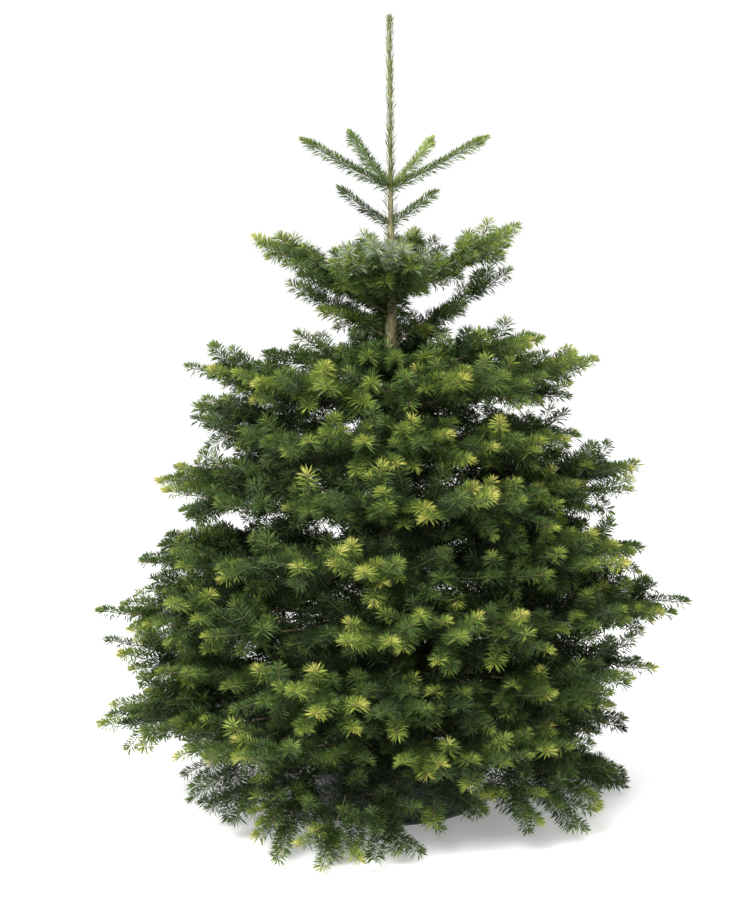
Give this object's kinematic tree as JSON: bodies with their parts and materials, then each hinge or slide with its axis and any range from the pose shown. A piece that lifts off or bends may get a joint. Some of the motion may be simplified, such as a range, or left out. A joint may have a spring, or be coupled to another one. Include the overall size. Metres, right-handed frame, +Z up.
{
  "type": "cut fir tree in a stand",
  "caption": "Cut fir with a bare leader, whorled boughs and a dense broad crown, held upright in a round dark water-basin stand.",
  "frame": {"origin": "centre of the stand's flat underside, on the floor", "axes": "+Z up the trunk, +X to the right of a person facing the tree's front, -Y towards that person"},
  "size_m": [1.4556, 1.2521, 1.9],
  "materials": {
    "bark": "rough young fir bark, olive to grey brown",
    "foliage": "masses of green needles on fine twigs",
    "basin": "moulded charcoal plastic, lightly grained",
    "screw": "plain zinc-plated steel"
  },
  "bodies": {
    "root": {"bough_03_left": "bark", "bough_03_right": "bark", "bough_04_right": "bark", "foliage_01_back_left": "foliage", "foliage_01_back_right": "foliage", "foliage_01_front_left": "foliage", "foliage_01_front_right": "foliage", "foliage_02_left": "foliage", "foliage_02_right": "foliage", "foliage_03_back": "foliage", "foliage_03_front": "foliage", "foliage_03_left": "foliage", "foliage_03_right": "foliage", "foliage_04_back": "foliage", "foliage_04_left": "foliage", "foliage_04_right": "foliage", "foliage_05_back": "foliage", "foliage_05_front": "foliage", "foliage_05_front_left": "foliage", "foliage_05_right": "foliage", "foliage_06_back": "foliage", "foliage_06_front_left": "foliage", "foliage_06_front_right": "foliage", "foliage_06_left": "foliage", "foliage_06_right": "foliage", "foliage_07_back_right": "foliage", "foliage_07_front": "foliage", "foliage_07_front_right": "foliage", "foliage_07_left": "foliage", "foliage_08_back_left": "foliage", "foliage_08_front": "foliage", "foliage_08_left": "foliage", "foliage_08_right": "foliage", "foliage_09_back_right": "foliage", "foliage_09_front": "foliage", "foliage_09_left": "foliage", "foliage_09_right": "foliage", "foliage_10_back_left": "foliage", "foliage_10_front": "foliage", "foliage_10_left": "foliage", "foliage_10_right": "foliage", "foliage_11_back_right": "foliage", "foliage_11_front": "foliage", "foliage_11_front_right": "foliage", "foliage_11_left": "foliage", "foliage_12_back": "foliage", "foliage_12_front_left": "foliage", "foliage_12_front_right": "foliage", "foliage_12_left": "foliage", "foliage_12_right": "foliage", "foliage_13_back": "foliage", "foliage_13_front": "foliage", "foliage_13_front_left": "foliage", "foliage_13_front_right": "foliage", "foliage_13_right": "foliage", "stand_basin": "basin", "stand_screw_1": "screw", "stand_screw_2": "screw", "stand_screw_3": "screw", "trunk": "bark"}
  },
  "joints": []
}
